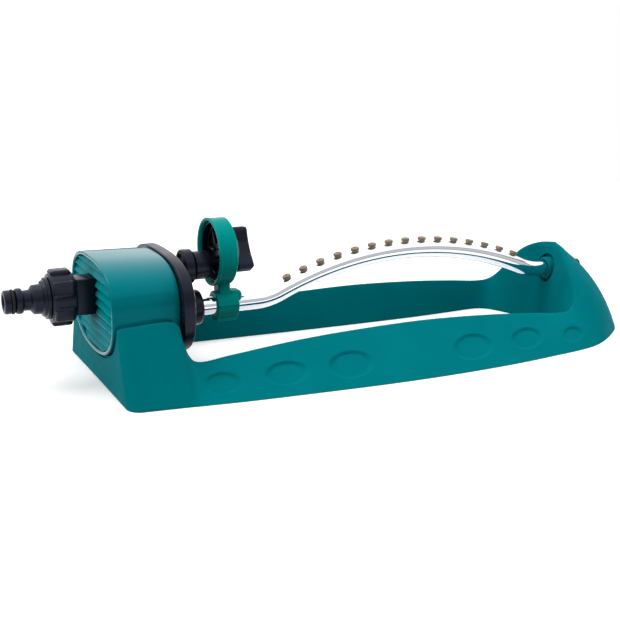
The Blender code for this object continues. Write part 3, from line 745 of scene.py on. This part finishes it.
def crank():
    shaft = turned([(-52.6, 0), (-52.6, 3.0), (-20, 3.0), (-20, 0)], INLET_Z, steps=32)
    hub = turned([(-22.4, 0), (-22.4, 5.0), (-18.4, 5.0), (-18.4, 0)], INLET_Z, soften=0.5, steps=40)
    web = block((4, 9, 16), (-20.4, 0, INLET_Z + 5), soften=1.2)
    barrel = turned(
        [
            (2.6, 0), (2.6, 9.2), (1.8, 10.0), (-8.6, 10.0), (-8.6, 8.8), (-9.8, 8.8),
            (-9.8, 11.6), (-10.6, 12.2), (-16.6, 12.2), (-17.2, 11.6), (-17.2, 9.6), (-16.0, 9.0),
            (-16.0, 5.0), (-20.5, 5.0), (-20.5, 0),
        ],
        PIN_Z,
        soften=0.5,
    )
    pin = turned([(0, 0), (0, 1.5), (13.6, 1.5), (13.6, 0)], PIN_Z, steps=24)
    shape = joined(shaft, hub, web, barrel, pin)
    place("crank_shell", shape, BLACK, "crank_body", ["crank"], 40)
    roller = turned([(4.6, 1.8), (4.6, 3.0), (13.2, 3.0), (13.2, 1.8)], PIN_Z, soften=0.3, steps=40)
    place("roller_shell", roller, BLACK, "roller", ["crank_roller"])


# ---------------------------------------------------------------- spray tube and nozzles

BOW_CREST_X, BOW_CREST_Z = 162.0, 69.6
BOW_R = 255.0
BEND_R = 50.0
NOZZLES = 15
NOZZLE_X = (66.4, 256.9)
NOZZLE_HEAD = 3.1


def bow_reach():
    """Where the large arc meets the small bends, and where these are centred, along X from the crest."""
    rise = (TUBE_Z + BEND_R) - (BOW_CREST_Z - BOW_R)
    reach = math.sqrt((BOW_R + BEND_R) ** 2 - rise**2)
    return reach * BOW_R / (BOW_R + BEND_R), reach


def tube_height(x):
    tangent, reach = bow_reach()
    away = abs(x - BOW_CREST_X)
    if away <= tangent:
        return BOW_CREST_Z - BOW_R + math.sqrt(BOW_R**2 - away**2)
    if away < reach:
        return TUBE_Z + BEND_R - math.sqrt(BEND_R**2 - (reach - away) ** 2)
    return TUBE_Z


def tube_slope(x):
    return math.atan2(tube_height(x + 0.05) - tube_height(x - 0.05), 0.1)


def tube_ring(x, radius, steps=40):
    """Points round the tube, square to its centre line."""
    slope = tube_slope(x)
    middle = Vector((x, 0, tube_height(x)))
    up = Vector((-math.sin(slope), 0, math.cos(slope)))
    angles = (2 * math.pi * k / steps for k in range(steps))
    return [middle + up * radius * math.cos(a) + Vector((0, radius * math.sin(a), 0)) for a in angles]


def spray_tube():
    _, reach = bow_reach()
    start, end = BOW_CREST_X - reach, BOW_CREST_X + reach
    bore, lip = TUBE_R - TUBE_WALL, TUBE_R - 0.3
    steps = 170
    stations = [start + (end - start) * k / steps for k in range(steps + 1)]
    rings = [tube_ring(TUBE_LEFT, bore), tube_ring(TUBE_LEFT, lip)]
    rings += [tube_ring(x, TUBE_R) for x in (TUBE_LEFT + 0.4, *stations, TUBE_RIGHT - 0.4)]
    rings += [tube_ring(TUBE_RIGHT, lip)]
    rings += [tube_ring(x, bore) for x in (TUBE_RIGHT, TUBE_RIGHT - 9, TUBE_RIGHT - 20)]
    shell = skin(rings, cap_first=False, cap_last=False)
    place("tube_shell", shell, POLISHED, "tube", ["spray_tube"], 40)


def nozzle_places():
    """Nozzles at equal steps along the tube."""
    first, last = NOZZLE_X
    fine = 400
    line = [first + (last - first) * k / fine for k in range(fine + 1)]
    run = [0.0]
    for before, after in zip(line, line[1:]):
        run.append(run[-1] + math.hypot(after - before, tube_height(after) - tube_height(before)))
    places = []
    for n in range(NOZZLES):
        wanted = run[-1] * n / (NOZZLES - 1)
        places.append(line[min(range(fine + 1), key=lambda k: abs(run[k] - wanted))])
    return places


def nozzles():
    top = TUBE_R + NOZZLE_HEAD
    profile = [
        (TUBE_R - 0.9, 1.3), (TUBE_R - 0.9, 2.2), (TUBE_R + 0.5, 2.4), (TUBE_R + 0.8, 3.1),
        (top - 0.6, 3.2), (top - 0.1, 2.6), (top, 1.6), (top, 0.9), (top - 1.2, 0.6), (top - 2.4, 0.6),
    ]
    for n, x in enumerate(nozzle_places(), 1):
        shape = turned(profile, 0, soften=0.35, steps=32)
        stand_up = Matrix.Rotation(-math.pi / 2 - tube_slope(x), 4, "Y")
        move = Matrix.Translation((x, 0, tube_height(x)))
        bmesh.ops.transform(shape, matrix=move @ stand_up, verts=shape.verts)
        place(f"nozzle_shell_{n:02d}", shape, TAN, "tube", [f"nozzle_{n:02d}"], 40)


def bearings():
    inner = TUBE_R + 0.3
    outlet = turned([(-10.2, inner), (-10.2, 8.8), (-4.2, 8.8), (-3.4, 8.2), (-3.4, inner)], TUBE_Z)
    place("outlet_ring", outlet, BLACK, "base", ["outlet_bushing"])
    far = turned([(289.6, inner), (289.6, 8.3), (290.6, 8.8), (303.5, 8.8), (303.5, inner)], TUBE_Z)
    place("end_ring", far, TEAL, "base", ["end_bushing"])
    plug = turned(
        [
            (284.5, 0), (286.0, 0.8), (305.0, 0.8), (306.0, 4.9), (315.2, 4.9), (315.3, 6.2),
            (317.2, 5.6), (317.6, 4.9), (322.4, 4.9), (323.2, 3.9), (323.2, 0),
        ],
        TUBE_Z,
        soften=0.5,
        steps=48,
    )
    place("plug_shell", plug, BLACK, "tube", ["tube_plug"])


# ---------------------------------------------------------------- range dial

KNOB_TILT = math.radians(30)


def tube_gap(gap):
    """Cuts a way for the tube, with a gap all round."""
    return drum(TUBE_R + gap, 0, 40, TUBE_Z)


def roller_slot():
    """Cuts the slot that the crank's roller slides in."""
    return block((14, 7.2, 16.4), (12, 0, 70.6), soften=0.3)


def dial_housing():
    cup = turned(
        [
            (19.0, 4.4), (19.0, DIAL_R - 5.0), (17.2, DIAL_R - 1.6), (16.4, DIAL_R - 0.5),
            (5.4, DIAL_R - 0.5), (5.1, DIAL_R), (3.5, DIAL_R), (3.5, DIAL_R - 1.8), (5.0, DIAL_R - 2.6),
            (14.4, DIAL_R - 2.8), (16.6, DIAL_R - 6.0), (16.6, 4.4),
        ],
        DIAL_Z,
        soften=0.5,
        steps=96,
    )
    arm = block((8.6, 11.6, 16.0), (13.1, 0, 56.4), soften=1.0)
    arm = cut(arm, drum(DIAL_R - 1.4, 4, 30, DIAL_Z), tube_gap(0.6))
    sleeve = turned(
        [
            (22.6, TUBE_R + 0.25), (22.6, SLEEVE_R - 0.5), (22.1, SLEEVE_R), (6.9, SLEEVE_R),
            (6.4, SLEEVE_R - 0.5), (6.4, TUBE_R + 0.25),
        ],
        TUBE_Z,
        soften=0.4,
    )
    foot = block((15.6, 12, 3.2), (14.4, 0, TUBE_Z - SLEEVE_R + 0.6), soften=0.6)
    band = block((16.0, 2 * SLEEVE_R + 1.0, 1.8), (14.5, 0, TUBE_Z + 1.4), soften=0.5)
    ear = block((9.6, 12.6, 9.0), (21.6, 0, TUBE_Z + SLEEVE_R - 4.6), soften=2.6, segments=5)
    foot = cut(foot, tube_gap(1.5))
    band = cut(band, tube_gap(1.5))
    ear = cut(ear, tube_gap(0.6))
    shape = joined(cup, arm, sleeve, foot, band, ear)
    place("dial_shell", shape, DIAL_TEAL, "tube", ["dial_housing"], 40)


def slot_plate():
    plate = turned(
        [(11.6, 0), (11.6, DIAL_R - 3.4), (13.9, DIAL_R - 3.4), (13.9, 0)], DIAL_Z, soften=0.4, steps=72
    )
    ribs = []
    for k in range(6):
        angle = math.radians(60 * k + 30)
        middle = (10.6, -12 * math.sin(angle), DIAL_Z + 12 * math.cos(angle))
        ribs.append(block((2.6, 1.4, 13), middle, soften=0.3, turn=angle))
    ring = turned([(9.4, 17.2), (9.4, 18.4), (12, 18.4), (12, 17.2)], DIAL_Z, soften=0.3)
    liner = turned([(6.2, 20.2), (6.2, 21.3), (12, 21.3), (12, 20.2)], DIAL_Z, soften=0.3, steps=96)
    plate = cut(plate, roller_slot())
    ribs = [cut(rib, roller_slot()) for rib in ribs]
    ring = cut(ring, roller_slot())
    shape = joined(plate, ring, liner, *ribs)
    place("slot_plate_shell", shape, BLACK, "tube", ["slot_plate"], 40)


def range_knob():
    hub = turned([(15.9, 0), (15.9, 4.0), (19.0, 4.0), (19.0, 0)], DIAL_Z)
    skirt = turned([(19.3, 0), (19.3, 12.5), (21.6, 12.5), (22.5, 11.6), (22.5, 0)], DIAL_Z, soften=0.6)
    rings = []
    half_long = 16.0
    steps = 24
    for k in range(steps + 1):
        along = -half_long + 2 * half_long * k / steps
        end_round = math.sqrt(max(1 - (max(abs(along) - (half_long - 2.2), 0) / 2.2) ** 2, 0.02))
        scoop = 2.9 + 1.7 * smoothstep(3.0, 14.0, abs(along))
        half = scoop * (0.55 + 0.45 * end_round)
        depth = 12.3 * (0.86 + 0.14 * end_round)
        section = rounded(
            [(21.8, -half), (21.8 + depth, -half), (21.8 + depth, half), (21.8, half)], 1.5, True, 4
        )
        rings.append([(x, y, along) for x, y in section])
    wing = skin(rings)
    turn = Matrix.Translation((0, 0, DIAL_Z)) @ Matrix.Rotation(-KNOB_TILT, 4, "X")
    bmesh.ops.transform(wing, matrix=turn, verts=wing.verts)
    place("knob_shell", joined(hub, skirt, wing), BLACK, "knob", ["range_knob"], 50)


# ---------------------------------------------------------------- pieces that keep their CAD shape

def inner_pieces():
    """Everything inside the housing stays as it is, in a better material."""
    looks = {
        WHITE: [
            "front_bearing_plate", "rear_bearing_plate", "inlet_filter", "turbine_wheel",
            "turbine_pinion", "lay_gear", "output_gear", "selector_disc",
        ],
        STEEL: ["turbine_shaft", "lay_shaft", "housing_screw_left", "housing_screw_right"],
        RUBBER: ["hose_washer", "shaft_seal", "tube_seal"],
    }
    for material, names in looks.items():
        for name in names:
            node = frame["nodes"][name]
            node.data.materials.clear()
            node.data.materials.append(material)


# ---------------------------------------------------------------- camera, floor and light

CAMERA_AT = (-0.3790, -0.7814, 0.2615)
CAMERA_AZIMUTH = math.radians(24.62)
CAMERA_PITCH = math.radians(15.0)
CAMERA_LENS = 69.68
FLOOR_HALF = 0.7


def camera():
    data = bpy.data.cameras.new("camera")
    data.sensor_width = 36.0
    data.lens = CAMERA_LENS
    data.clip_start = 0.01
    obj = bpy.data.objects.new("camera", data)
    obj.location = CAMERA_AT
    obj.rotation_euler = (math.pi / 2 - CAMERA_PITCH, 0, -CAMERA_AZIMUTH)
    bpy.context.scene.collection.objects.link(obj)
    bpy.context.scene.camera = obj


def floor():
    shape = bmesh.new()
    bmesh.ops.create_grid(shape, x_segments=1, y_segments=1, size=FLOOR_HALF)
    mesh = bpy.data.meshes.new("floor")
    shape.to_mesh(mesh)
    shape.free()
    obj = bpy.data.objects.new("floor", mesh)
    bpy.context.scene.collection.objects.link(obj)
    nodes = Nodes("pale_floor")
    pale = nodes.colours(nodes.noise(3), (0.93, 0.93, 0.93), (0.95, 0.95, 0.95))
    nodes.link(pale, nodes.shader.inputs["Base Color"])
    nodes.set("Roughness", 0.9)
    nodes.set("Specular IOR Level", 0.0)
    nodes.set("Emission Color", (1, 1, 1, 1))
    nodes.set("Emission Strength", 0.2)
    mesh.materials.append(nodes.material)
    obj.visible_diffuse = False


def area_light(name, place_at, aim, size, power):
    data = bpy.data.lights.new(name, "AREA")
    data.shape = "RECTANGLE"
    data.size, data.size_y = size
    data.energy = power
    obj = bpy.data.objects.new(name, data)
    obj.location = place_at
    obj.rotation_euler = (Vector(aim) - Vector(place_at)).to_track_quat("-Z", "Y").to_euler()
    obj.visible_glossy = False
    bpy.context.scene.collection.objects.link(obj)


# Brightness of the surroundings at heights (the sine of the elevation): as lit surfaces see them, and as
# mirrors see them in front of the sprinkler and behind it
SOFT_SKY = ((-1.0, 0.14), (-0.05, 0.14), (0.05, 0.20), (0.40, 0.35), (0.60, 1.20), (1.0, 1.30))
FRONT_SKY = ((-1.0, 0.5), (0.0, 0.55), (0.44, 0.72), (0.465, 0.10), (0.495, 0.10), (0.52, 1.25), (1.0, 1.40))
BACK_SKY = ((-1.0, 0.5), (-0.34, 0.5), (-0.28, 0.03), (0.0, 0.03), (0.06, 1.3), (1.0, 1.40))


def world():
    made = bpy.data.worlds.new("studio")
    made.use_nodes = True
    tree = made.node_tree

    def add(kind, **inputs):
        node = tree.nodes.new(kind)
        for key, value in inputs.items():
            source = isinstance(value, bpy.types.NodeSocket)
            socket = node.inputs[key.replace("_", " ")]
            if source:
                tree.links.new(value, socket)
            else:
                socket.default_value = value
        return node

    def mixed(factor, first, second):
        node = tree.nodes.new("ShaderNodeMix")
        node.data_type = "RGBA"
        tree.links.new(factor, node.inputs["Factor"])
        for name, value in (("A", first), ("B", second)):
            if isinstance(value, bpy.types.NodeSocket):
                tree.links.new(value, node.inputs[name])
            else:
                node.inputs[name].default_value = value
        return node.outputs["Result"]

    direction = add("ShaderNodeTexCoord").outputs["Generated"]
    split = add("ShaderNodeSeparateXYZ", Vector=direction)
    height = add("ShaderNodeMapRange", Value=split.outputs["Z"], From_Min=-1.0).outputs["Result"]
    behind = add("ShaderNodeMapRange", Value=split.outputs["Y"], From_Min=-0.1, From_Max=0.2)
    behind = behind.outputs["Result"]
    skies = []
    for sky in (SOFT_SKY, FRONT_SKY, BACK_SKY):
        ramp = add("ShaderNodeValToRGB", Fac=height)
        stops = ramp.color_ramp.elements
        for k, (at, value) in enumerate(sky):
            stop = stops[k] if k < 2 else stops.new(1.0)
            stop.position = (at + 1) / 2
            stop.color = (value / 2, value / 2, value / 2, 1)
        skies.append(ramp.outputs["Color"])
    ray = add("ShaderNodeLightPath").outputs
    mirrored_sky = mixed(behind, skies[1], skies[2])
    seen = mixed(ray["Is Glossy Ray"], skies[0], mirrored_sky)
    seen = mixed(ray["Is Camera Ray"], seen, (0.5, 0.5, 0.5, 1))
    background = tree.nodes["Background"]
    tree.links.new(seen, background.inputs["Color"])
    background.inputs["Strength"].default_value = 2.0
    bpy.context.scene.world = made


def lights():
    world()
    data = bpy.data.lights.new("overhead", "SUN")
    data.energy = 0.9
    data.angle = math.radians(35)
    obj = bpy.data.objects.new("overhead", data)
    obj.rotation_euler = Vector((0.25, -0.22, -1)).to_track_quat("-Z", "Y").to_euler()
    bpy.context.scene.collection.objects.link(obj)
    area_light("left_softbox", (-1.3, -0.25, 0.12), (-0.2, 0, 0.04), (0.6, 0.3), 5)
    area_light("right_softbox", (1.2, -0.7, 0.25), (0.2, 0, 0.04), (0.6, 0.4), 4)
    bpy.context.scene.view_settings.view_transform = "Standard"


base_frame()
motor_housing()
housing_cover()
inlet_connector()
crank()
spray_tube()
nozzles()
bearings()
dial_housing()
slot_plate()
range_knob()
inner_pieces()
camera()
floor()
lights()
